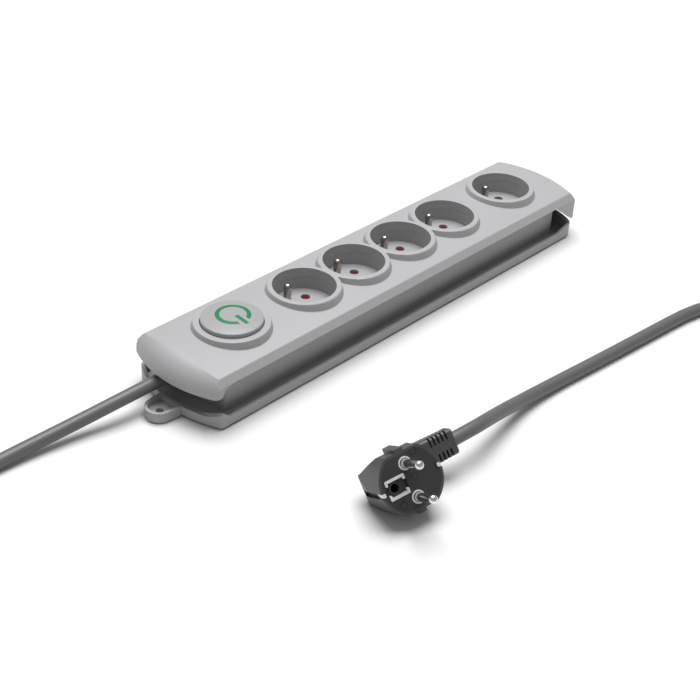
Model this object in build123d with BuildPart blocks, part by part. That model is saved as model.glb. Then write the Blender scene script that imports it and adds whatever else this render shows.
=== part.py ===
from build123d import *
import os
from math import cos, pi, radians, sin, tan

# A five-outlet power strip with earth pins, one large push button and a channel round its
# inner box for winding the cord. Millimetres. X runs along the strip, from the cord's end
# at -X to the far end at +X, and Z is up. The origin is on the table under its middle.

os.makedirs("parts", exist_ok=True)

# ---- driving dimensions ----
SOCKET_PITCH = 43.5
END_PITCH = 59.5
SOCKET_RADIUS = 19.5
SOCKET_DEPTH = 14.5
SOCKET_TURN = 38.0
PIN_RADIUS = 2.4
CONTACT_SPACING = 19.0
EARTH_OFFSET = 10.0
EARTH_PIN_REACH = 14.0

RING_TOP_Z = 39.5
RING_TOP_RADIUS = 22.6
RING_FOOT_RADIUS = 24.8
BUTTON_BORE_RADIUS = 18.8

COVER_HALF_LENGTH = 175.5
COVER_HALF_WIDTH = 34.5
END_ARC_RADIUS = 78.0
END_ROUNDING = 14.1
TOP_Z = 36.4
TOP_EDGE_Z = 33.2
TOP_HALF_WIDTH = 31.5
LIP_Z = 28.6
NEAR_LOBE_Z = 22.3
FAR_LOBE_Z = 14.0
COVER_WALL = 2.3

BASE_HALF_LENGTH = 172.0
BASE_HALF_WIDTH = 35.0
BASE_Z = 1.0
CHANNEL_Z = 4.0
RIM_Z = 7.2
FAR_RIM_Z = 12.8
RIM_WALL = 1.8
CORE_HALF_LENGTH = 155.0
CORE_HALF_WIDTH = 26.2
CORE_WALL = 1.8
EAR_X = 179.5
EAR_RADIUS = 8.5
EAR_HOLE_RADIUS = 2.25
PIT_Z = 3.6

CORD_RADIUS = 4.0
CORD_Y = 10.0
CORD_Z = 15.2
CORD_LENGTH = 3000.0
GLAND_END_X = -168.0

BUTTON_TRAVEL = 3.0
SHUTTER_TRAVEL = 6.0
SLIDE_GAP = 0.3

# ---- places worked out from them ----
SOCKET_X = [SOCKET_PITCH * k for k in (-1.5, -0.5, 0.5, 1.5)] + [SOCKET_PITCH * 1.5 + END_PITCH]
BUTTON_X = 0.5 - SOCKET_X[-1]
END_CENTRE_X = COVER_HALF_LENGTH - END_ARC_RADIUS
WELL_FLOOR_Z = RING_TOP_Z - SOCKET_DEPTH
CONTACT_DX = CONTACT_SPACING / 2 * cos(radians(SOCKET_TURN))
CONTACT_DY = CONTACT_SPACING / 2 * sin(radians(SOCKET_TURN))
EARTH_DX = -EARTH_OFFSET * sin(radians(SOCKET_TURN))
EARTH_DY = EARTH_OFFSET * cos(radians(SOCKET_TURN))


def save(piece, name):
    """Label a finished piece and write it to its own file."""
    piece.label = name
    export_step(piece, f"parts/{name}.step")


# ---- the cover's form: a crowned bar with rounded ends, drawn in by an inset ----
def cover_form(inset):
    """The solid that the cover's outside fills, or its inside when inset is the wall."""
    side = COVER_HALF_WIDTH - inset
    shoulder = TOP_HALF_WIDTH - inset * 0.6
    low = -10.0
    with BuildPart() as ends:
        with BuildSketch(Plane.XY.offset(low)):
            SlotCenterToCenter(2 * END_CENTRE_X, 2 * (END_ARC_RADIUS - inset))
        extrude(amount=TOP_Z - inset - low)
        fillet(ends.faces().sort_by(Axis.Z)[-1].edges(), END_ROUNDING - inset)
    with BuildPart() as plan:
        with BuildSketch(Plane.XY.offset(low)) as outline:
            SlotCenterToCenter(2 * END_CENTRE_X, 2 * (END_ARC_RADIUS - inset))
            Rectangle(3 * COVER_HALF_LENGTH, 2 * side, mode=Mode.INTERSECT)
            fillet(outline.vertices().group_by(Axis.X)[0], 3.6 - inset)
            fillet(outline.vertices().group_by(Axis.X)[-1], 3.6 - inset)
        extrude(amount=TOP_Z + 20 - low)
    with BuildPart() as form:
        with BuildSketch(Plane.YZ) as section:
            with BuildLine():
                ThreePointArc(
                    (-shoulder, TOP_EDGE_Z - inset), (0, TOP_Z - inset), (shoulder, TOP_EDGE_Z - inset)
                )
                Polyline(
                    (shoulder, TOP_EDGE_Z - inset),
                    (side, LIP_Z - 0.5 * inset),
                    (side, low),
                    (-side, low),
                    (-side, LIP_Z - 0.5 * inset),
                    (-shoulder, TOP_EDGE_Z - inset),
                )
            make_face()
            fillet(section.vertices().filter_by_position(Axis.Y, TOP_Z - 6 - inset, TOP_Z), 1.4)
        extrude(amount=COVER_HALF_LENGTH + 5, both=True)
        add(ends.part, mode=Mode.INTERSECT)
        add(plan.part, mode=Mode.INTERSECT)
    return form.part


outside_form = cover_form(0.0)
inside_form = cover_form(COVER_WALL)

# ---- top cover: crowned plate, side lips, end lobes, six raised rings, screw posts ----
POST_AT = [(-149.5, 20.5), (-149.5, -20.5), (149.5, 20.5), (149.5, -20.5), (0, 20.5), (0, -20.5)]
POST_RADIUS = 2.8
POST_FOOT_Z = 12.0
COLLAR_FOOT_Z = 27.0

with BuildPart() as ring:
    with Locations((0, 0, RING_TOP_Z)):
        Cone(
            RING_FOOT_RADIUS,
            RING_TOP_RADIUS,
            RING_TOP_Z - TOP_EDGE_Z + 1,
            align=(Align.CENTER, Align.CENTER, Align.MAX),
        )
    fillet(ring.edges().group_by(Axis.Z)[-1], 0.8)

with BuildPart() as below_lip:
    with BuildSketch(Plane.XZ):
        with BuildLine():
            FilletPolyline(
                (-200, -20),
                (-200, NEAR_LOBE_Z),
                (-163.2, NEAR_LOBE_Z),
                (-161.0, 26.5),
                (-155.0, LIP_Z),
                (145, LIP_Z),
                (165, FAR_LOBE_Z),
                (200, FAR_LOBE_Z),
                (200, -20),
                radius=[1, 1, 1, 3, 4, 4, 4, 1, 1],
                close=True,
            )
        make_face()
    extrude(amount=60, both=True)

with BuildPart() as top_cover:
    add(outside_form)
    with Locations([(x, 0) for x in [BUTTON_X] + SOCKET_X]):
        add(ring.part)
    add(inside_form, mode=Mode.SUBTRACT)
    add(below_lip.part, mode=Mode.SUBTRACT)
    with BuildSketch(Plane.XY.offset(COLLAR_FOOT_Z)):
        with Locations((BUTTON_X, 0)):
            Circle(BUTTON_BORE_RADIUS + 1.6)
    extrude(amount=TOP_Z - 1 - COLLAR_FOOT_Z)
    with BuildSketch(Plane.XY.offset(POST_FOOT_Z)):
        with Locations(POST_AT):
            Circle(POST_RADIUS)
    extrude(amount=TOP_EDGE_Z + 0.8 - POST_FOOT_Z)
    with BuildSketch(Plane.XY.offset(POST_FOOT_Z)):
        with Locations(POST_AT):
            Circle(1.25)
    extrude(amount=10, mode=Mode.SUBTRACT)
    with BuildSketch(Plane.XY):
        with Locations((BUTTON_X, 0)):
            Circle(BUTTON_BORE_RADIUS)
        with Locations([(x, 0) for x in SOCKET_X]):
            Circle(SOCKET_RADIUS)
    extrude(amount=RING_TOP_Z + 5, mode=Mode.SUBTRACT)
save(top_cover.part, "top_cover")

# ---- base tray: floor, low rim, inner box, ears, screw bosses, cord cradle ----
CRADLE_X = -143.5
CRADLE_LENGTH = 5.0
CLAMP_SCREW_Y = [CORD_Y - 6.1, CORD_Y + 6.1]
GLAND_NECK_RADIUS = 6.0

with BuildPart() as tray_plan:
    with BuildSketch() as tray_outline:
        SlotCenterToCenter(2 * (BASE_HALF_LENGTH - END_ARC_RADIUS), 2 * END_ARC_RADIUS)
        Rectangle(400, 2 * BASE_HALF_WIDTH, mode=Mode.INTERSECT)
        fillet(tray_outline.vertices(), 2.6)
    extrude(amount=30)

with BuildPart() as tray_room:
    with BuildSketch() as room_outline:
        SlotCenterToCenter(2 * (BASE_HALF_LENGTH - END_ARC_RADIUS), 2 * (END_ARC_RADIUS - RIM_WALL))
        Rectangle(400, 2 * (BASE_HALF_WIDTH - RIM_WALL), mode=Mode.INTERSECT)
        fillet(room_outline.vertices(), 2.6 - RIM_WALL)
    extrude(amount=30)

with BuildPart() as above_rim:
    with BuildSketch(Plane.XZ):
        with BuildLine():
            FilletPolyline(
                (-200, 60),
                (-200, RIM_Z),
                (-167.5, RIM_Z),
                (-162.5, 11.4),
                (-157.5, RIM_Z),
                (150, RIM_Z),
                (166, FAR_RIM_Z - 0.4),
                (200, FAR_RIM_Z),
                (200, 60),
                radius=[1, 1, 2, 1.2, 2, 8, 6, 1, 1],
                close=True,
            )
        make_face()
    extrude(amount=60, both=True)

with BuildPart() as base_tray:
    with Locations((0, 0, BASE_Z)):
        add(tray_plan.part)
    chamfer(base_tray.edges().group_by(Axis.Z)[0], 0.7)
    with Locations((0, 0, CHANNEL_Z)):
        add(tray_room.part, mode=Mode.SUBTRACT)
    add(above_rim.part, mode=Mode.SUBTRACT)
    with BuildSketch(Plane.XY.offset(CHANNEL_Z)):
        RectangleRounded(2 * CORE_HALF_LENGTH, 2 * CORE_HALF_WIDTH, 3)
        RectangleRounded(
            2 * (CORE_HALF_LENGTH - CORE_WALL),
            2 * (CORE_HALF_WIDTH - CORE_WALL),
            3 - CORE_WALL,
            mode=Mode.SUBTRACT,
        )
    extrude(amount=31.4 - CHANNEL_Z)
    with BuildSketch(Plane.XY.offset(BASE_Z)) as ears:
        for side in (-1, 1):
            with BuildLine():
                ear_arc = CenterArc((side * EAR_X, 0), EAR_RADIUS, -80 if side > 0 else 100, 160)
                Line(ear_arc @ 1, (side * 170.5, side * 9.4))
                Line((side * 170.5, side * 9.4), (side * 170.5, -side * 9.4))
                Line((side * 170.5, -side * 9.4), ear_arc @ 0)
            make_face()
    extrude(amount=RIM_Z - BASE_Z)
    with BuildSketch(Plane.XY.offset(PIT_Z)):
        for side in (-1, 1):
            with BuildLine():
                pit_arc = CenterArc((side * EAR_X, 0), EAR_RADIUS - 1.7, -80 if side > 0 else 100, 160)
                Line(pit_arc @ 1, (side * 173.2, side * 7.5))
                Line((side * 173.2, side * 7.5), (side * 173.2, -side * 7.5))
                Line((side * 173.2, -side * 7.5), pit_arc @ 0)
            make_face()
    extrude(amount=10, mode=Mode.SUBTRACT)
    with BuildSketch(Plane.XY):
        with Locations((-EAR_X, 0), (EAR_X, 0)):
            Circle(EAR_HOLE_RADIUS)
    extrude(amount=10, mode=Mode.SUBTRACT)
    with BuildSketch(Plane.XY.offset(CHANNEL_Z)):
        with Locations(POST_AT):
            Circle(4)
    extrude(amount=POST_FOOT_Z - 0.1 - CHANNEL_Z)
    with BuildSketch(Plane.XY):
        with Locations(POST_AT):
            Circle(1.7)
    extrude(amount=POST_FOOT_Z, mode=Mode.SUBTRACT)
    with BuildSketch(Plane.XY):
        with Locations(POST_AT):
            Circle(3.2)
    extrude(amount=5.2, mode=Mode.SUBTRACT)
    with BuildSketch(Plane.XY.offset(CHANNEL_Z)):
        with Locations((CRADLE_X, CORD_Y)):
            Rectangle(CRADLE_LENGTH, 14.4)
    extrude(amount=CORD_Z - 1.0 - CHANNEL_Z)
    with BuildSketch(Plane.XY.offset(CHANNEL_Z)):
        with Locations([(CRADLE_X, y) for y in CLAMP_SCREW_Y]):
            Circle(0.95)
    extrude(amount=20, mode=Mode.SUBTRACT)
    with BuildSketch(Plane.YZ.offset(-CORE_HALF_LENGTH + CORE_WALL + 1)):
        with Locations((CORD_Y, CORD_Z)):
            Circle(GLAND_NECK_RADIUS)
    extrude(amount=-CORE_WALL - 3, mode=Mode.SUBTRACT)
    with BuildSketch(Plane.YZ.offset(CRADLE_X)):
        with Locations((CORD_Y, CORD_Z)):
            Circle(CORD_RADIUS)
    extrude(amount=CRADLE_LENGTH / 2 + 0.5, both=True, mode=Mode.SUBTRACT)
save(base_tray.part, "base_tray")

# ---- rubber feet: four pads under the tray's corners ----
with BuildPart() as rubber_feet:
    with BuildSketch():
        with Locations((148, 29.8), (148, -29.8)):
            RectangleRounded(30, 8.6, 2)
        with Locations((-140, 24), (-140, -24)):
            RectangleRounded(24, 10, 2)
    extrude(amount=BASE_Z)
    chamfer(rubber_feet.edges().group_by(Axis.Z)[0], 0.3)
save(rubber_feet.part, "rubber_feet")

# ---- cover screws: six, up through the tray into the cover's posts ----
with BuildPart() as cover_screws:
    with Locations([(x, y, 2.6) for x, y in POST_AT]):
        Cylinder(3.0, 2.4, align=(Align.CENTER, Align.CENTER, Align.MIN))
    with Locations([(x, y, 5.0) for x, y in POST_AT]):
        Cylinder(1.22, 13, align=(Align.CENTER, Align.CENTER, Align.MIN))
    with Locations([(x, y, 2.6) for x, y in POST_AT]):
        Box(3.6, 0.8, 1.0, align=(Align.CENTER, Align.CENTER, Align.MIN), mode=Mode.SUBTRACT)
        Box(0.8, 3.6, 1.0, align=(Align.CENTER, Align.CENTER, Align.MIN), mode=Mode.SUBTRACT)
save(cover_screws.part, "cover_screws")

# ---- sockets: a well with three holes each, guide ribs for the shutter underneath ----
CUP_WALL = 1.7
CUP_FLOOR = 2.0
SHUTTER_TOP_Z = WELL_FLOOR_Z - CUP_FLOOR - SLIDE_GAP
SHUTTER_THICKNESS = 2.1
CARRIER_TOP_Z = SHUTTER_TOP_Z - SHUTTER_THICKNESS - SLIDE_GAP
SHUTTER_HALF_WIDTH = 13.5
SHUTTER_FRONT = 3.2
SHUTTER_BACK = -4.5
SPRING_STOP = -15.0

# A socket's own plane: its X points from the neutral hole to the live hole, and its Y
# points from the middle toward the earth pin.
for number, socket_x in enumerate(SOCKET_X, start=1):
    turned = Plane(
        origin=(socket_x, 0, 0),
        x_dir=(cos(radians(SOCKET_TURN)), sin(radians(SOCKET_TURN)), 0),
        z_dir=(0, 0, 1),
    )

    with BuildPart() as socket_cup:
        with BuildSketch(turned.offset(WELL_FLOOR_Z - CUP_FLOOR)):
            Circle(SOCKET_RADIUS + CUP_WALL)
        extrude(amount=TOP_Z - WELL_FLOOR_Z + CUP_FLOOR)
        with BuildSketch(turned.offset(WELL_FLOOR_Z)):
            Circle(SOCKET_RADIUS)
        extrude(amount=TOP_Z, mode=Mode.SUBTRACT)
        with BuildSketch(turned.offset(CARRIER_TOP_Z + 0.05)):
            with Locations((SHUTTER_HALF_WIDTH + 0.9, -4.5), (-SHUTTER_HALF_WIDTH - 0.9, -4.5)):
                Rectangle(1.2, 16)
            with Locations((0, SPRING_STOP - 0.75)):
                Rectangle(8, 1.5)
        extrude(amount=WELL_FLOOR_Z - 1 - CARRIER_TOP_Z)
        with BuildSketch(turned):
            with Locations((CONTACT_SPACING / 2, 0), (-CONTACT_SPACING / 2, 0)):
                Circle(2.95)
            with Locations((0, EARTH_OFFSET)):
                Circle(PIN_RADIUS + 0.05)
        extrude(amount=40, mode=Mode.SUBTRACT)
        with Locations((0, 0, -0.1)):
            add(inside_form, mode=Mode.INTERSECT)
    save(socket_cup.part, f"socket_cup_{number}")

    with BuildPart() as shutter:
        with BuildSketch(turned.offset(SHUTTER_TOP_Z - SHUTTER_THICKNESS)):
            with Locations((0, (SHUTTER_FRONT + SHUTTER_BACK) / 2)):
                Rectangle(2 * SHUTTER_HALF_WIDTH, SHUTTER_FRONT - SHUTTER_BACK)
        extrude(amount=SHUTTER_THICKNESS)
        chamfer(shutter.edges().group_by(Axis.Z)[-1], 0.4)
    save(shutter.part, f"shutter_{number}")

    with BuildPart() as shutter_spring:
        spring_at = turned.from_local_coords((0, SPRING_STOP + 0.3, SHUTTER_TOP_Z - SHUTTER_THICKNESS / 2))
        with BuildLine(Plane(spring_at)) as spring_line:
            Helix(
                pitch=1.5,
                height=SHUTTER_BACK - SPRING_STOP - 0.6,
                radius=0.8,
                direction=turned.y_dir,
            )
        with BuildSketch(Plane(origin=spring_line.line @ 0, z_dir=spring_line.line % 0)):
            Circle(0.2)
        sweep()
    save(shutter_spring.part, f"shutter_spring_{number}")

# ---- contacts: two rails of spring tubes, an earth rail with pins, a plate that guides them ----
LIVE_Z = 8.0
STRIP = 0.8
TUBE_RADIUS = 3.3
TUBE_TOP_Z = CARRIER_TOP_Z - 2.3
EARTH_RAIL_Z = 13.0
RAIL_START_X = -86.0
RAIL_END_X = SOCKET_X[-1] + 14

with BuildPart() as contact_carrier:
    with BuildSketch(Plane.XY.offset(CARRIER_TOP_Z - 2)):
        with Locations(((RAIL_START_X + 144) / 2 - 1, 0)):
            RectangleRounded(144 - RAIL_START_X + 2, 33, 3)
    extrude(amount=2)
    with BuildSketch(Plane.XY.offset(CHANNEL_Z)):
        with Locations([(x, y) for x in (-43.5, 43.5, 95) for y in (-13.0, 0)] + [(43.5, 9.9), (95, 9.9)]):
            Circle(1.0)
        with Locations([(x, -11.5) for x in (-82, 138)]):
            Circle(2.0)
    extrude(amount=CARRIER_TOP_Z - 1 - CHANNEL_Z)
    with BuildSketch(Plane.XY.offset(CARRIER_TOP_Z - 3)):
        with Locations([(x + CONTACT_DX, CONTACT_DY) for x in SOCKET_X]):
            Circle(2.9)
        with Locations([(x - CONTACT_DX, -CONTACT_DY) for x in SOCKET_X]):
            Circle(2.9)
        with Locations([(x + EARTH_DX, EARTH_DY) for x in SOCKET_X]):
            Circle(PIN_RADIUS + 0.05)
    extrude(amount=4, mode=Mode.SUBTRACT)
save(contact_carrier.part, "contact_carrier")

for name, side in (("live_busbar", 1), ("neutral_busbar", -1)):
    with BuildPart() as busbar:
        with BuildSketch(Plane.XY.offset(LIVE_Z)):
            with Locations(((RAIL_START_X + RAIL_END_X) / 2, side * CONTACT_DY)):
                Rectangle(RAIL_END_X - RAIL_START_X, 4.4)
            with Locations([(x + side * CONTACT_DX, side * CONTACT_DY) for x in SOCKET_X]):
                Circle(TUBE_RADIUS)
        extrude(amount=STRIP)
        with BuildSketch(Plane.XY.offset(LIVE_Z)):
            with Locations([(x + side * CONTACT_DX, side * CONTACT_DY) for x in SOCKET_X]):
                Circle(TUBE_RADIUS)
        extrude(amount=TUBE_TOP_Z - LIVE_Z)
        with BuildSketch(Plane.XY.offset(LIVE_Z + STRIP)):
            with Locations([(x + side * CONTACT_DX, side * CONTACT_DY) for x in SOCKET_X]):
                Circle(TUBE_RADIUS - 0.75)
        extrude(amount=12, mode=Mode.SUBTRACT)
        with BuildSketch(Plane.XY.offset(LIVE_Z + 2.5)):
            with Locations([(x + side * CONTACT_DX, side * CONTACT_DY) for x in SOCKET_X]):
                Rectangle(10, 0.8)
        extrude(amount=12, mode=Mode.SUBTRACT)
    save(busbar.part, name)

with BuildPart() as earth_busbar:
    with BuildSketch(Plane.XY.offset(EARTH_RAIL_Z)):
        with Locations(((RAIL_START_X + RAIL_END_X) / 2, 14)):
            Rectangle(RAIL_END_X - RAIL_START_X, 4)
        with Locations([(x + EARTH_DX, EARTH_DY + 2.5) for x in SOCKET_X]):
            Rectangle(5, 9.0)
        with Locations([(x + EARTH_DX, EARTH_DY) for x in SOCKET_X]):
            Circle(1.55, mode=Mode.SUBTRACT)
    extrude(amount=STRIP)
save(earth_busbar.part, "earth_busbar")

for number, socket_x in enumerate(SOCKET_X, start=1):
    with BuildPart() as earth_pin:
        with Locations((socket_x + EARTH_DX, EARTH_DY, EARTH_RAIL_Z + STRIP)):
            Cylinder(
                PIN_RADIUS,
                WELL_FLOOR_Z + EARTH_PIN_REACH - EARTH_RAIL_Z - STRIP,
                align=(Align.CENTER, Align.CENTER, Align.MIN),
            )
        fillet(earth_pin.edges().group_by(Axis.Z)[-1], 2.0)
        with Locations((socket_x + EARTH_DX, EARTH_DY, EARTH_RAIL_Z + STRIP)):
            Cylinder(PIN_RADIUS + 0.7, 1.5, align=(Align.CENTER, Align.CENTER, Align.MIN))
            Cylinder(1.5, STRIP + 1.2, align=(Align.CENTER, Align.CENTER, Align.MAX))
    save(earth_pin.part, f"earth_pin_{number}")

# ---- push button: domed cap on a skirt, symbol let into the dome, stem, spring, switch ----
CAP_RADIUS = 18.4
CAP_TOP_Z = 43.9
CAP_EDGE_Z = 42.0
SKIRT_FOOT_Z = 25.2
DOME_RADIUS = (CAP_RADIUS**2 + (CAP_TOP_Z - CAP_EDGE_Z) ** 2) / (2 * (CAP_TOP_Z - CAP_EDGE_Z))
STEM_RADIUS = 3.0
STEM_FOOT_Z = 21.8
SWITCH_TOP_Z = 24.0
SYMBOL_DEPTH = 0.6
SYMBOL_CENTRE = (1.0, 0.2)

with BuildPart() as cap_form:
    with BuildSketch(Plane.XZ):
        with BuildLine():
            Line((0, CAP_TOP_Z), (0, 20))
            Line((0, 20), (CAP_RADIUS, 20))
            Line((CAP_RADIUS, 20), (CAP_RADIUS, CAP_EDGE_Z))
            RadiusArc((CAP_RADIUS, CAP_EDGE_Z), (0, CAP_TOP_Z), -DOME_RADIUS)
        make_face()
    revolve(axis=Axis.Z)
    fillet(cap_form.edges().filter_by_position(Axis.Z, CAP_EDGE_Z - 0.05, CAP_EDGE_Z + 0.05), 0.9)

with BuildPart() as symbol_form:
    with BuildSketch(Plane.XY.offset(30)):
        with Locations(SYMBOL_CENTRE):
            Circle(10.5)
            Circle(7.9, mode=Mode.SUBTRACT)
        with Locations((SYMBOL_CENTRE[0], SYMBOL_CENTRE[1] - 9)):
            Rectangle(7.0, 9, mode=Mode.SUBTRACT)
        with Locations((SYMBOL_CENTRE[0], SYMBOL_CENTRE[1] - 7.4)):
            Rectangle(2.6, 9.6)
    extrude(amount=20)
    add(cap_form.part, mode=Mode.INTERSECT)
    with Locations((0, 0, -SYMBOL_DEPTH)):
        add(cap_form.part, mode=Mode.SUBTRACT)

with BuildPart() as power_button:
    with Locations((BUTTON_X, 0)):
        add(cap_form.part)
    with BuildSketch(Plane.XY):
        with Locations((BUTTON_X, 0)):
            Circle(CAP_RADIUS - 1.6)
    extrude(amount=CAP_EDGE_Z - 1.9, mode=Mode.SUBTRACT)
    with BuildSketch(Plane.XY):
        with Locations((BUTTON_X, 0)):
            Circle(CAP_RADIUS + 10)
    extrude(amount=SKIRT_FOOT_Z, mode=Mode.SUBTRACT)
    with BuildSketch(Plane.XY.offset(SKIRT_FOOT_Z)):
        with Locations((BUTTON_X, 0)):
            Circle(CAP_RADIUS + 1.4)
            Circle(CAP_RADIUS - 1.6, mode=Mode.SUBTRACT)
    extrude(amount=1.5)
    with BuildSketch(Plane.XY.offset(STEM_FOOT_Z)):
        with Locations((BUTTON_X, 0)):
            Circle(STEM_RADIUS)
    extrude(amount=CAP_EDGE_Z - 1 - STEM_FOOT_Z)
    with Locations((BUTTON_X, 0)):
        add(symbol_form.part, mode=Mode.SUBTRACT)
save(power_button.part, "power_button")

with BuildPart() as power_symbol:
    with Locations((BUTTON_X, 0)):
        add(symbol_form.part)
save(power_symbol.part, "power_symbol")

with BuildPart() as switch_body:
    with BuildSketch(Plane.XY.offset(CHANNEL_Z)):
        with Locations((BUTTON_X, 0)):
            RectangleRounded(18, 20, 1.5)
    extrude(amount=SWITCH_TOP_Z - CHANNEL_Z)
    with BuildSketch(Plane.XY.offset(SWITCH_TOP_Z - 6.5)):
        with Locations((BUTTON_X, 0)):
            Circle(STEM_RADIUS + 0.07)
    extrude(amount=10, mode=Mode.SUBTRACT)
save(switch_body.part, "switch_body")

with BuildPart() as switch_terminals:
    for side in (-1, 1):
        with BuildSketch(Plane.XZ.offset(-side * 10)):
            with Locations((BUTTON_X - 5, 10), (BUTTON_X + 5, 10)):
                Rectangle(4, 0.8)
        extrude(amount=-side * 3.5)
save(switch_terminals.part, "switch_terminals")

with BuildPart() as button_spring:
    with BuildLine(Plane((BUTTON_X, 0, SWITCH_TOP_Z + 0.5))) as button_spring_line:
        Helix(pitch=2.6, height=CAP_EDGE_Z - 1.9 - SWITCH_TOP_Z - 1.0, radius=6)
    with BuildSketch(Plane(origin=button_spring_line.line @ 0, z_dir=button_spring_line.line % 0)):
        Circle(0.45)
    sweep()
save(button_spring.part, "button_spring")

# ---- cord entry: gland in the inner box's end wall, clamp with two screws ----
with BuildPart() as cord_gland:
    with BuildSketch(Plane.XZ.offset(-CORD_Y)):
        with BuildLine():
            Polyline(
                (-147.0, CORD_Z + CORD_RADIUS + 0.05),
                (-147.0, CORD_Z + 5.2),
                (-151.2, CORD_Z + 5.2),
                (-151.2, CORD_Z + 7.3),
                (-153.1, CORD_Z + 7.3),
                (-153.1, CORD_Z + 5.95),
                (-155.1, CORD_Z + 5.95),
                (-155.1, CORD_Z + 7.8),
                (-157.6, CORD_Z + 7.8),
                (-158.6, CORD_Z + 6.6),
                (GLAND_END_X, CORD_Z + 4.7),
                (GLAND_END_X, CORD_Z + CORD_RADIUS + 0.05),
                close=True,
            )
        make_face()
    revolve(axis=Axis((0, CORD_Y, CORD_Z), (1, 0, 0)))
save(cord_gland.part, "cord_gland")

with BuildPart() as cord_clamp:
    with BuildSketch(Plane.XY.offset(CORD_Z + 1.0)):
        with Locations((CRADLE_X, CORD_Y)):
            RectangleRounded(CRADLE_LENGTH, 15.2, 1)
    extrude(amount=4.3)
    with BuildSketch(Plane.YZ.offset(CRADLE_X)):
        with Locations((CORD_Y, CORD_Z)):
            Circle(CORD_RADIUS)
    extrude(amount=CRADLE_LENGTH, both=True, mode=Mode.SUBTRACT)
    with BuildSketch(Plane.XY.offset(CORD_Z)):
        with Locations([(CRADLE_X, y) for y in CLAMP_SCREW_Y]):
            Circle(1.2)
    extrude(amount=8, mode=Mode.SUBTRACT)
save(cord_clamp.part, "cord_clamp")

with BuildPart() as clamp_screws:
    with Locations([(CRADLE_X, y, CORD_Z + 5.3) for y in CLAMP_SCREW_Y]):
        Cylinder(1.9, 1.2, align=(Align.CENTER, Align.CENTER, Align.MIN))
        Cylinder(0.93, 12, align=(Align.CENTER, Align.CENTER, Align.MAX))
    with Locations([(CRADLE_X, y, CORD_Z + 5.8) for y in CLAMP_SCREW_Y]):
        Box(2.8, 0.5, 0.8, align=(Align.CENTER, Align.CENTER, Align.MIN), mode=Mode.SUBTRACT)
save(clamp_screws.part, "clamp_screws")


# ---- wires inside: from the cord's end to the switch and from the switch to the rails ----
def bends(points, share=0.45):
    """A bend for every corner: as wide as a share of the shorter run beside it allows."""
    runs = [Vector(*b) - Vector(*a) for a, b in zip(points, points[1:])]
    made = []
    for before, after in zip(runs, runs[1:]):
        half_turn = radians(before.get_angle(after)) / 2
        made.append(share * min(before.length, after.length) / tan(half_turn))
    return made


def tube(points, radius):
    """A round tube along straight runs joined by tangent arcs."""
    with BuildPart() as made:
        with BuildLine() as path:
            FilletPolyline(*points, radius=bends(points))
        with BuildSketch(Plane(origin=path.line @ 0, z_dir=path.line % 0)):
            Circle(radius)
        sweep()
    return made.part


CORD_INNER_END_X = -140.0
WIRE_RADIUS = 1.1
TERMINAL_Y = 12.4

live_in = tube(
    [
        (CORD_INNER_END_X + 0.2, 12, 16.6),
        (-137.6, 12, 16.6),
        (-135.6, 13.4, 13.4),
        (BUTTON_X - 8.2, TERMINAL_Y, 11.6),
        (BUTTON_X - 4.5, TERMINAL_Y, 11.6),
    ],
    WIRE_RADIUS,
)
live_out = tube(
    [
        (BUTTON_X + 4.5, TERMINAL_Y, 11.6),
        (BUTTON_X + 14, TERMINAL_Y, 11.6),
        (RAIL_START_X - 6, CONTACT_DY, 10.0),
        (RAIL_START_X + 3, CONTACT_DY, 10.0),
    ],
    WIRE_RADIUS,
)
with BuildPart() as live_wires:
    add(live_in)
    add(live_out)
save(live_wires.part, "live_wires")

neutral_in = tube(
    [
        (CORD_INNER_END_X + 0.2, 8, 16.6),
        (-138.0, 8, 16.6),
        (-135.9, 2, 14.6),
        (-136.0, -10.5, 12.4),
        (BUTTON_X - 8.2, -TERMINAL_Y, 11.6),
        (BUTTON_X - 4.5, -TERMINAL_Y, 11.6),
    ],
    WIRE_RADIUS,
)
neutral_out = tube(
    [
        (BUTTON_X + 4.5, -TERMINAL_Y, 11.6),
        (BUTTON_X + 14, -TERMINAL_Y, 11.6),
        (RAIL_START_X - 6, -CONTACT_DY, 10.0),
        (RAIL_START_X + 3, -CONTACT_DY, 10.0),
    ],
    WIRE_RADIUS,
)
with BuildPart() as neutral_wires:
    add(neutral_in)
    add(neutral_out)
save(neutral_wires.part, "neutral_wires")

earth_wire = tube(
    [
        (CORD_INNER_END_X + 0.2, 10, 13.0),
        (-138.2, 10, 13.0),
        (-136.4, 12.8, 7.6),
        (-133.0, 18.2, 6.6),
        (BUTTON_X + 14, 18.6, 7.0),
        (RAIL_START_X - 6, 14.2, 15.0),
        (RAIL_START_X + 3, 14.2, 15.0),
    ],
    WIRE_RADIUS,
)
save(earth_wire, "earth_wire")

# ---- plug: round body that lies tipped on its back edge, boot toward the cord ----
# In the plug's own plane X runs along the boot, Z is the way the pins point, and the face
# is at zero.
PLUG_FACE_CENTRE = (-143.15, -154.98, 25.04)
PLUG_BOOT_WAY = (0.9545, -0.2455, 0.1693)
PLUG_PIN_WAY = (-0.2982, -0.7837, 0.5449)
PLUG_RADIUS = 18.6
PLUG_FLAT = 16.2
PLUG_DEPTH = 28.0
PLUG_SHELL = 1.4
PLUG_PIN_LENGTH = 19.0
FACE_THICKNESS = 4.0
RIB_AT = -0.5
RIB_WIDTH = 4.6
RIB_TOP = 18.0
SIDE_GROOVE_AT = -1.0
SIDE_GROOVE_WIDTH = 3.2
BOOT_START = 8.0
BOOT_END = 40.5
BOOT_DEPTH = 25.0
BOOT_OFFSET = 2.3
BOOT_WIDTH = 15.2
BOOT_HEIGHT = 9.6

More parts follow.
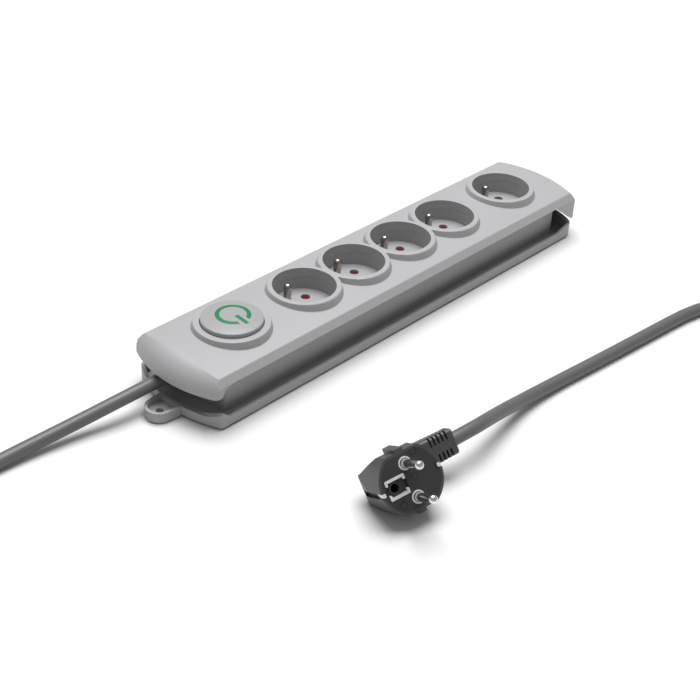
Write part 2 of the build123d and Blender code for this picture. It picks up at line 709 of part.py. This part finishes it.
plug = Plane(origin=PLUG_FACE_CENTRE, x_dir=PLUG_BOOT_WAY, z_dir=PLUG_PIN_WAY)
plug_side = Plane(origin=PLUG_FACE_CENTRE, x_dir=plug.y_dir, z_dir=plug.x_dir)
plug_end = Plane(origin=PLUG_FACE_CENTRE, x_dir=plug.x_dir, z_dir=-plug.y_dir)
boot_plane = Plane(
    origin=plug.from_local_coords((0, BOOT_OFFSET, -BOOT_DEPTH)),
    x_dir=plug.y_dir,
    z_dir=plug.x_dir,
)
PIN_PLACES = [(0, CONTACT_SPACING / 2), (0, -CONTACT_SPACING / 2)]
EARTH_HOLE = (-EARTH_OFFSET, 0)

# Its outline is a circle with two flats. Toward the back it narrows to a grip.
with BuildPart() as plug_side_form:
    with BuildSketch(plug_side):
        with BuildLine():
            FilletPolyline(
                (PLUG_FLAT, 5),
                (PLUG_FLAT, -11),
                (10.0, -22.5),
                (7.8, -PLUG_DEPTH),
                (-7.8, -PLUG_DEPTH),
                (-10.0, -22.5),
                (-PLUG_FLAT, -11),
                (-PLUG_FLAT, 5),
                radius=[1, 4, 5, 2.5, 2.5, 5, 4, 1],
                close=True,
            )
        make_face()
    extrude(amount=30, both=True)

with BuildPart() as plug_end_form:
    with BuildSketch(plug_end):
        with BuildLine():
            FilletPolyline(
                (-PLUG_RADIUS - 1, 5),
                (-PLUG_RADIUS - 1, -12),
                (-16.6, -PLUG_DEPTH),
                (14.0, -PLUG_DEPTH),
                (PLUG_RADIUS + 1, -15),
                (PLUG_RADIUS + 1, 5),
                radius=[1, 6, 3.5, 5, 5, 1],
                close=True,
            )
        make_face()
    extrude(amount=30, both=True)

with BuildPart() as plug_body:
    with BuildSketch(plug):
        Circle(PLUG_RADIUS)
    extrude(amount=-PLUG_DEPTH - 2)
    add(plug_side_form.part, mode=Mode.INTERSECT)
    add(plug_end_form.part, mode=Mode.INTERSECT)
    with BuildSketch(plug):
        with Locations((RIB_AT, 0)):
            Rectangle(RIB_WIDTH, 2 * RIB_TOP)
    extrude(amount=-15)
    with BuildSketch(plug):
        Circle(PLUG_RADIUS - PLUG_SHELL)
        Rectangle(60, 2 * (PLUG_FLAT - PLUG_SHELL), mode=Mode.INTERSECT)
    extrude(amount=-FACE_THICKNESS, mode=Mode.SUBTRACT)
    with BuildSketch(plug):
        with Locations((-PLUG_RADIUS, SIDE_GROOVE_AT), (PLUG_RADIUS, SIDE_GROOVE_AT + 1.6)):
            Rectangle(5.0, SIDE_GROOVE_WIDTH)
    extrude(amount=-23, mode=Mode.SUBTRACT)
    with BuildSketch(plug):
        with Locations(PIN_PLACES):
            Circle(PIN_RADIUS)
    extrude(amount=-12, mode=Mode.SUBTRACT)
    with BuildSketch(plug):
        with Locations(EARTH_HOLE):
            Circle(2.7)
    extrude(amount=-20, mode=Mode.SUBTRACT)
save(plug_body.part, "plug_body")

with BuildPart() as plug_face:
    with BuildSketch(plug.offset(-FACE_THICKNESS)):
        Circle(PLUG_RADIUS - PLUG_SHELL)
        Rectangle(60, 2 * (PLUG_FLAT - PLUG_SHELL), mode=Mode.INTERSECT)
        with Locations((-PLUG_RADIUS, SIDE_GROOVE_AT), (PLUG_RADIUS, SIDE_GROOVE_AT + 1.6)):
            Rectangle(7.0, SIDE_GROOVE_WIDTH, mode=Mode.SUBTRACT)
    extrude(amount=FACE_THICKNESS)
    with BuildSketch(plug.offset(-1.6)):
        with Locations((-9.0, 0)):
            RectangleRounded(12.6, 11.6, 0.8)
    extrude(amount=2, mode=Mode.SUBTRACT)
    with BuildSketch(plug.offset(-1.7)):
        with Locations(EARTH_HOLE):
            RegularPolygon(3.9, 6)
    extrude(amount=1.1)
    with BuildSketch(plug.offset(-0.25)):
        with Locations((6.5, 13.3), (2.4, 0.8), (-9.0, -10.2)):
            Circle(2.1)
            Circle(1.6, mode=Mode.SUBTRACT)
    extrude(amount=1, mode=Mode.SUBTRACT)
    with BuildSketch(plug.offset(-1.4)):
        with Locations(PIN_PLACES):
            Circle(3.7)
    extrude(amount=2, mode=Mode.SUBTRACT)
    with BuildSketch(plug.offset(-8)):
        with Locations(PIN_PLACES):
            Circle(PIN_RADIUS)
        with Locations(EARTH_HOLE):
            Circle(2.7)
    extrude(amount=10, mode=Mode.SUBTRACT)
save(plug_face.part, "plug_face")

# A flanged collar sits in the face round each pin.
with BuildPart() as plug_pins:
    with BuildSketch(plug.offset(-12)):
        with Locations(PIN_PLACES):
            Circle(PIN_RADIUS)
    extrude(amount=12 + PLUG_PIN_LENGTH)
    fillet(plug_pins.edges().group_by(Axis(PLUG_FACE_CENTRE, PLUG_PIN_WAY))[-1], 2.0)
    with BuildSketch(plug.offset(-1.4)):
        with Locations(PIN_PLACES):
            Circle(PIN_RADIUS + 0.3)
    extrude(amount=0.3)
save(plug_pins.part, "plug_pins")

with BuildPart() as plug_pin_collars:
    with BuildSketch(plug.offset(-1.4)):
        with Locations(PIN_PLACES):
            Circle(3.65)
            Circle(2.9, mode=Mode.SUBTRACT)
    extrude(amount=1.5)
save(plug_pin_collars.part, "plug_pin_collars")

with BuildPart() as plug_earth_sleeve:
    with BuildSketch(plug.offset(-20)):
        with Locations(EARTH_HOLE):
            Circle(2.68)
            Circle(2.42, mode=Mode.SUBTRACT)
    extrude(amount=19.2)
save(plug_earth_sleeve.part, "plug_earth_sleeve")

# Two bent springs stand round the earth hole, and a strip's end shows in each side groove.
with BuildPart() as plug_earth_clips:
    with BuildSketch(plug.offset(-1.6)):
        for side in (-1, 1):
            with Locations((-8.8, side * 4.75)):
                RectangleRounded(11.8, 1.5, 0.6)
            with Locations((-14.0, side * 3.9), (-3.6, side * 3.9)):
                RectangleRounded(1.4, 3.0, 0.6)
    extrude(amount=1.9)
    with BuildSketch(plug.offset(-4.0)):
        with Locations((-PLUG_RADIUS + 1.5, SIDE_GROOVE_AT), (PLUG_RADIUS - 1.5, SIDE_GROOVE_AT + 1.6)):
            RectangleRounded(1.9, 2.2, 0.5)
    extrude(amount=4.2)
    with BuildSketch(plug.offset(-9)):
        with Locations((-PLUG_RADIUS + 2.1, SIDE_GROOVE_AT), (PLUG_RADIUS - 2.1, SIDE_GROOVE_AT + 1.6)):
            Rectangle(0.6, 2.2)
    extrude(amount=6)
save(plug_earth_clips.part, "plug_earth_clips")

# The boot is a ribbed block: two rows of slots with a plain band between them.
with BuildPart() as plug_boot:
    with BuildSketch(boot_plane.offset(BOOT_START)):
        RectangleRounded(BOOT_WIDTH + 1.0, BOOT_HEIGHT, 2)
    with BuildSketch(boot_plane.offset(BOOT_END)):
        RectangleRounded(BOOT_WIDTH - 0.6, BOOT_HEIGHT - 0.4, 2)
    loft()
    fillet(plug_boot.faces().sort_by(Axis(PLUG_FACE_CENTRE, PLUG_BOOT_WAY))[-1].edges(), 1.0)
    for slot in range(5):
        with BuildSketch(boot_plane.offset(25.2 + 2.55 * slot)):
            with Locations((6.2, 0), (-6.2, 0)):
                Rectangle(7.4, 14)
            Rectangle(30, 3.4, mode=Mode.SUBTRACT)
        extrude(amount=1.15, mode=Mode.SUBTRACT)
    with BuildSketch(boot_plane.offset(20)):
        Circle(CORD_RADIUS + 0.05)
    extrude(amount=BOOT_END, mode=Mode.SUBTRACT)
    add(plug_body.part, mode=Mode.SUBTRACT)
save(plug_boot.part, "plug_boot")

# ---- cord: from the gland to the coil, the coil, from the coil to the plug ----
COIL_CENTRE = (-308.0, -274.0)
COIL_OUTER = 59.0
COIL_INNER = 25.0
COIL_TOP_Z = 17.0


NEAR_ROUTE = [
    (GLAND_END_X, CORD_Y, CORD_Z),
    (-192, CORD_Y, CORD_Z),
    (-228, 17.6, 8.2),
    (-280, 23.0, 4.0),
    (-345, 20.5, 4.0),
    (-375.5, -48, 4.0),
    (-376, -140, 4.0),
    (-362, -212, 4.0),
    (-362, -274, 4.0),
]
FAR_ROUTE = [
    (-308, -328, 13.0),
    (-262, -328, 12.0),
    (-205, -334, 4.0),
    (-125, -340, 4.0),
    (-15, -324, 4.0),
    (84, -281, 4.0),
    (190, -221, 4.0),
    (175.5, -153.7, 4.0),
    (62, -143.9, 4.0),
    (-12, -136.2, 4.0),
    (-54, -141.6, 14.5),
    (-86.1, -146.8, 22.1),
    (-112.8, -139.9, 17.4),
]
print("near bends", [round(r) for r in bends(NEAR_ROUTE)])
print("far bends", [round(r) for r in bends(FAR_ROUTE)])


with BuildPart() as cord_coil:
    with BuildSketch(Plane.XZ):
        with Locations(((COIL_INNER + COIL_OUTER) / 2, (COIL_TOP_Z + 1) / 2)):
            RectangleRounded(COIL_OUTER - COIL_INNER, COIL_TOP_Z - 1, 3.9)
    revolve(axis=Axis.Z)
coil = Location((*COIL_CENTRE, 0)) * cord_coil.part
save(coil, "cord_coil")

with BuildPart() as cord_tie:
    with BuildSketch(Plane.XZ):
        with Locations(((COIL_INNER + COIL_OUTER) / 2, (COIL_TOP_Z + 1) / 2)):
            RectangleRounded(COIL_OUTER - COIL_INNER + 2.0, COIL_TOP_Z + 1, 4.8)
            RectangleRounded(COIL_OUTER - COIL_INNER + 0.5, COIL_TOP_Z - 0.5, 4.0, mode=Mode.SUBTRACT)
    extrude(amount=3, both=True)
tie = Location((*COIL_CENTRE, 0), (0, 0, 45)) * cord_tie.part
save(tie, "cord_tie")

near_cord = tube(NEAR_ROUTE, CORD_RADIUS)
far_cord = tube(FAR_ROUTE, CORD_RADIUS)
with BuildPart() as cord_near:
    add(near_cord)
    add(coil, mode=Mode.SUBTRACT)
save(cord_near.part, "cord_near")
with BuildPart() as cord_far:
    add(far_cord)
    add(coil, mode=Mode.SUBTRACT)
save(cord_far.part, "cord_far")

with BuildPart() as cord_inner:
    with BuildSketch(Plane.YZ.offset(GLAND_END_X)):
        with Locations((CORD_Y, CORD_Z)):
            Circle(CORD_RADIUS)
    extrude(amount=CORD_INNER_END_X - GLAND_END_X)
save(cord_inner.part, "cord_inner")

print("near run", round(near_cord.volume / (pi * CORD_RADIUS**2)), "mm")
print("far run", round(far_cord.volume / (pi * CORD_RADIUS**2)), "mm")
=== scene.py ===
from math import cos, pi, radians, sin

import bpy
from mathutils import Matrix, Vector


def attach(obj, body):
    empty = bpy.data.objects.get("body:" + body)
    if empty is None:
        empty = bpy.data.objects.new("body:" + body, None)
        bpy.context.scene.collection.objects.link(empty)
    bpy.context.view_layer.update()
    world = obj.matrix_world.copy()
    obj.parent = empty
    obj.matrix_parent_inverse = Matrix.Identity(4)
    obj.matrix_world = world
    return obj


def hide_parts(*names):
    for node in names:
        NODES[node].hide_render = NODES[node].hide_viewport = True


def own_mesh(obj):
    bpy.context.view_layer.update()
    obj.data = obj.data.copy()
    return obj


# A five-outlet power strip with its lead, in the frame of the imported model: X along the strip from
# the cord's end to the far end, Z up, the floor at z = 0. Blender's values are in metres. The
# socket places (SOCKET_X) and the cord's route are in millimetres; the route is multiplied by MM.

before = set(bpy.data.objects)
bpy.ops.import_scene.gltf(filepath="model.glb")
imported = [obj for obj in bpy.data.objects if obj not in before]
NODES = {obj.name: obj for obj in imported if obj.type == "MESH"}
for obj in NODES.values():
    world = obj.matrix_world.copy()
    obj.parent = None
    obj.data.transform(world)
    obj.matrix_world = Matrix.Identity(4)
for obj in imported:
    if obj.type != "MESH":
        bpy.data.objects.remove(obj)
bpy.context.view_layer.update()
MM = 0.001


def stand(name, data):
    """A new object in the scene."""
    made = bpy.data.objects.new(name, data)
    bpy.context.collection.objects.link(made)
    return made


# ---------------------------------------------------------------- materials

CLOUD_SCALE = 34.0
CLOUD_DETAIL = 4.0
SPECK_DETAIL = 3.0
RELIEF_DEPTH = 0.0001
ROUGHNESS_SPREAD = 0.06
LEAST_ROUGHNESS = 0.02


def material(name, colour, roughness=0.5, metallic=0.0, grain=900.0, bump=0.06, mottle=0.05):
    """A procedural plastic, metal or rubber: a fine grain in the bump and a soft uneven colour."""
    made = bpy.data.materials.new(name)
    made.use_nodes = True
    nodes, links = made.node_tree.nodes, made.node_tree.links
    shader = nodes["Principled BSDF"]
    shader.inputs["Metallic"].default_value = metallic
    place = nodes.new("ShaderNodeTexCoord")
    cloud = nodes.new("ShaderNodeTexNoise")
    cloud.inputs["Scale"].default_value = CLOUD_SCALE
    cloud.inputs["Detail"].default_value = CLOUD_DETAIL
    links.new(place.outputs["Object"], cloud.inputs["Vector"])
    tone = nodes.new("ShaderNodeMapRange")
    tone.inputs["To Min"].default_value = 1.0 - mottle
    tone.inputs["To Max"].default_value = 1.0 + mottle
    links.new(cloud.outputs["Fac"], tone.inputs["Value"])
    paint = nodes.new("ShaderNodeVectorMath")
    paint.operation = "SCALE"
    paint.inputs[0].default_value = colour
    links.new(tone.outputs["Result"], paint.inputs["Scale"])
    links.new(paint.outputs["Vector"], shader.inputs["Base Color"])
    speck = nodes.new("ShaderNodeTexNoise")
    speck.inputs["Scale"].default_value = grain
    speck.inputs["Detail"].default_value = SPECK_DETAIL
    links.new(place.outputs["Object"], speck.inputs["Vector"])
    shine = nodes.new("ShaderNodeMapRange")
    shine.inputs["To Min"].default_value = max(LEAST_ROUGHNESS, roughness - ROUGHNESS_SPREAD)
    shine.inputs["To Max"].default_value = roughness + ROUGHNESS_SPREAD
    links.new(cloud.outputs["Fac"], shine.inputs["Value"])
    links.new(shine.outputs["Result"], shader.inputs["Roughness"])
    relief = nodes.new("ShaderNodeBump")
    relief.inputs["Strength"].default_value = bump
    relief.inputs["Distance"].default_value = RELIEF_DEPTH
    links.new(speck.outputs["Fac"], relief.inputs["Height"])
    links.new(relief.outputs["Normal"], shader.inputs["Normal"])
    return made


COVER = material("cover_plastic", (0.345, 0.345, 0.353), 0.42, grain=2600, bump=0.10, mottle=0.015)
# The socket cups take the cover's grey made a little darker: painted shade for the recessed wells.
WELL_SHADED = material("well_plastic_painted_shade", (0.325, 0.325, 0.333), 0.45, grain=2600, bump=0.10, mottle=0.015)
TRAY = material("tray_plastic", (0.325, 0.325, 0.333), 0.5, grain=2200, bump=0.12, mottle=0.02)
BUTTON = material("button_plastic", (0.300, 0.303, 0.308), 0.36, grain=2600, bump=0.06, mottle=0.012)
GREEN = material("symbol_green", (0.004, 0.155, 0.052), 0.45, mottle=0.05)
RED = material("shutter_red", (0.30, 0.020, 0.012), 0.4, mottle=0.08)
STEEL = material("bright_pin", (0.82, 0.81, 0.80), 0.18, 1.0, grain=1500, bump=0.03, mottle=0.03)
WIRE_STEEL = material("spring_wire", (0.55, 0.55, 0.56), 0.3, 1.0)
SCREW = material("screw_steel", (0.6, 0.6, 0.58), 0.35, 1.0)
BRASS = material("contact_brass", (0.72, 0.52, 0.25), 0.28, 1.0)
EARTH_PIN = material("earth_pin_metal", (0.40, 0.37, 0.33), 0.22, 1.0, grain=1500, bump=0.03, mottle=0.05)
CLIP = material("clip_nickel", (0.80, 0.80, 0.80), 0.38, 0.45, grain=1500, bump=0.03, mottle=0.04)
SLEEVE = material("sleeve_dull", (0.10, 0.09, 0.075), 0.45, 0.8)
NYLON = material("white_nylon", (0.75, 0.75, 0.72), 0.55)
BLACK = material("switch_black", (0.02, 0.02, 0.02), 0.45)
RUBBER = material("foot_rubber", (0.20, 0.20, 0.205), 0.75, grain=1800, bump=0.2)
CORD = material("cord_sheath", (0.105, 0.105, 0.11), 0.42, grain=1600, bump=0.10, mottle=0.04)
GLAND = material("gland_pvc", (0.05, 0.05, 0.053), 0.5, grain=1600, bump=0.12)
PLUG = material("plug_pvc", (0.055, 0.055, 0.058), 0.42, grain=1500, bump=0.15, mottle=0.05)
FACE = material("plug_face", (0.028, 0.028, 0.030), 0.45, grain=1500, bump=0.15, mottle=0.06)
TIE = material("tie_strap", (0.02, 0.02, 0.02), 0.85, grain=3000, bump=0.5)
BROWN = material("wire_brown", (0.12, 0.05, 0.02), 0.5)
BLUE = material("wire_blue", (0.03, 0.10, 0.35), 0.5)
EARTH = material("wire_green_yellow", (0.30, 0.42, 0.04), 0.5)

FINISH = {
    "top_cover": COVER, "base_tray": TRAY, "rubber_feet": RUBBER, "cover_screws": SCREW,
    "contact_carrier": NYLON, "live_busbar": BRASS, "neutral_busbar": BRASS, "earth_busbar": BRASS,
    "power_button": BUTTON, "power_symbol": GREEN, "button_spring": WIRE_STEEL, "switch_body": BLACK,
    "switch_terminals": BRASS, "cord_gland": GLAND, "cord_clamp": NYLON, "clamp_screws": SCREW,
    "live_wires": BROWN, "neutral_wires": BLUE, "earth_wire": EARTH, "cord_inner": CORD,
    "cord_near": CORD, "cord_coil": CORD, "cord_far": CORD, "cord_tie": TIE,
    "plug_body": PLUG, "plug_face": FACE, "plug_boot": PLUG, "plug_pins": STEEL,
    "plug_earth_sleeve": SLEEVE, "plug_pin_collars": CLIP, "plug_earth_clips": CLIP,
}
for number in range(1, 6):
    # Each cup gets the darkened grey, which is painted shade for the wells.
    FINISH[f"socket_cup_{number}"] = WELL_SHADED
    FINISH[f"shutter_{number}"] = RED
    FINISH[f"shutter_spring_{number}"] = WIRE_STEEL
    FINISH[f"earth_pin_{number}"] = EARTH_PIN
for name, finish in FINISH.items():
    for slot in NODES[name].material_slots:
        slot.material = finish

# ---------------------------------------------------------------- springs as pieces of their own

SOCKET_X = [-65.25, -21.75, 21.75, 65.25, 124.75]


def coil_spring(node):
    """The node's coil as a piece of its own on the strip's body; the model's own coil is hidden."""
    made = NODES[node].copy()
    made.data = NODES[node].data.copy()
    made.name = node + "_coil"
    bpy.context.collection.objects.link(made)
    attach(made, "strip")
    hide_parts(node)
    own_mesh(made)


coil_spring("button_spring")
for number, socket_x in enumerate(SOCKET_X, start=1):
    coil_spring(f"shutter_spring_{number}")

# ---------------------------------------------------------------- camera

CAMERA_PLACE = (-0.59366, -0.5045, 0.4873)
LOOK = Vector((0.6220, 0.5475, -0.5598))
RIGHT = Vector((0.6840, -0.7279, 0.0482))
SENSOR_WIDTH = 36.0
LENS = 73.47
CLIP_START = 0.01

camera_data = bpy.data.cameras.new("camera")
camera_data.sensor_width = SENSOR_WIDTH
camera_data.lens = LENS
camera_data.clip_start = CLIP_START
camera = stand("camera", camera_data)
back = -LOOK.normalized()
right = (RIGHT - RIGHT.dot(back) * back).normalized()
turn = Matrix((right, back.cross(right), back)).transposed()
camera.matrix_world = Matrix.Translation(CAMERA_PLACE) @ turn.to_4x4()
bpy.context.scene.camera = camera

# ---------------------------------------------------------------- cord

CORD_D = 8.0 * MM
NEAR_ROUTE = [
    (-168, 10, 15.2), (-192, 10, 15.2), (-228, 17.6, 8.2), (-280, 23.0, 4.0), (-345, 20.5, 4.0),
    (-375.5, -48, 4.0), (-376, -140, 4.0), (-362, -212, 4.0),
]
FAR_ROUTE = [
    (-262, -328, 12.0), (-205, -334, 4.0), (-125, -340, 4.0), (-15, -324, 4.0), (84, -281, 4.0),
    (190, -221, 4.0), (175.5, -153.7, 4.0), (62, -143.9, 4.0), (-12, -136.2, 4.0),
    (-54, -141.6, 14.5), (-86.1, -146.8, 22.1), (-112.8, -139.9, 17.4),
]
COIL_CENTRE = (-308.0, -274.0)
COIL_RADIUS = 54.6
COIL_PITCH = 8.4
COIL_START = pi
FLOOR_LAYER_Z = 4.1
LAYER_HEIGHT = 8.2
TURNS_IN, TURNS_OUT = 3.0, 3.25
CLIMB_TURNS = 0.5
POINTS_A_TURN = 16
SPLINE_ORDER = 3
STEPS_A_SPAN = 8
RIM_STEPS = 6


def coil_points():
    """Two layers: in toward the middle on the floor, then out again on top of those turns."""
    found = []
    steps = round((TURNS_IN + TURNS_OUT) * POINTS_A_TURN)
    for step in range(steps + 1):
        turned = step / POINTS_A_TURN
        angle = COIL_START + 2 * pi * turned
        turns_from_rim = max(min(turned, 2 * TURNS_IN - turned), 0.0)
        radius = COIL_RADIUS - COIL_PITCH * turns_from_rim
        climbed = (turned - TURNS_IN + CLIMB_TURNS / 2) / CLIMB_TURNS
        lift = min(max(climbed, 0.0), 1.0)
        found.append((COIL_CENTRE[0] + radius * cos(angle), COIL_CENTRE[1] + radius * sin(angle),
                      FLOOR_LAYER_Z + LAYER_HEIGHT * lift))
    return found


def spline_curve(name, points, bevel):
    """One open NURBS curve through control points in millimetres."""
    data = bpy.data.curves.new(name, "CURVE")
    data.dimensions = "3D"
    spline = data.splines.new("NURBS")
    spline.points.add(len(points) - 1)
    for point, place in zip(spline.points, points):
        point.co = (place[0] * MM, place[1] * MM, place[2] * MM, 1.0)
    spline.order_u = SPLINE_ORDER
    spline.use_endpoint_u = True
    data.resolution_u = STEPS_A_SPAN
    data.bevel_depth = bevel
    data.bevel_resolution = RIM_STEPS
    data.use_fill_caps = True
    return stand(name, data)


cord = spline_curve("mains_cord", NEAR_ROUTE + coil_points() + FAR_ROUTE, CORD_D / 2)
cord.data.materials.append(CORD)
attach(cord, "strip")
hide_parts("cord_near", "cord_coil", "cord_far")

# ---------------------------------------------------------------- floor and light

FLOOR_REACH = 4
KEY_PLACE = Vector((0.15, 0.22, 1.7))
KEY_SIZE = 1.3
KEY_WATTS = 45
WORLD_STRENGTH = 0.32

floor_data = bpy.data.meshes.new("floor")
floor_corners = [(x * FLOOR_REACH, y * FLOOR_REACH, 0) for x, y in ((-1, -1), (1, -1), (1, 1), (-1, 1))]
floor_data.from_pydata(floor_corners, [], [(0, 1, 2, 3)])
floor = stand("floor", floor_data)
floor_data.materials.append(material("floor_paper", (0.70, 0.70, 0.70), 0.8, mottle=0.004, bump=0.0))

# One square soft light above the strip, facing the middle of it.
key_data = bpy.data.lights.new("key", "AREA")
key_data.shape = "SQUARE"
key_data.size = KEY_SIZE
key_data.energy = KEY_WATTS
key = stand("key", key_data)
key.location = KEY_PLACE
key.rotation_euler = (-KEY_PLACE).to_track_quat("-Z", "Y").to_euler()

world = bpy.data.worlds.new("studio")
bpy.context.scene.world = world
world.use_nodes = True
world.node_tree.nodes["Background"].inputs["Color"].default_value = (1, 1, 1, 1)
world.node_tree.nodes["Background"].inputs["Strength"].default_value = WORLD_STRENGTH
bpy.context.scene.view_settings.view_transform = "Standard"
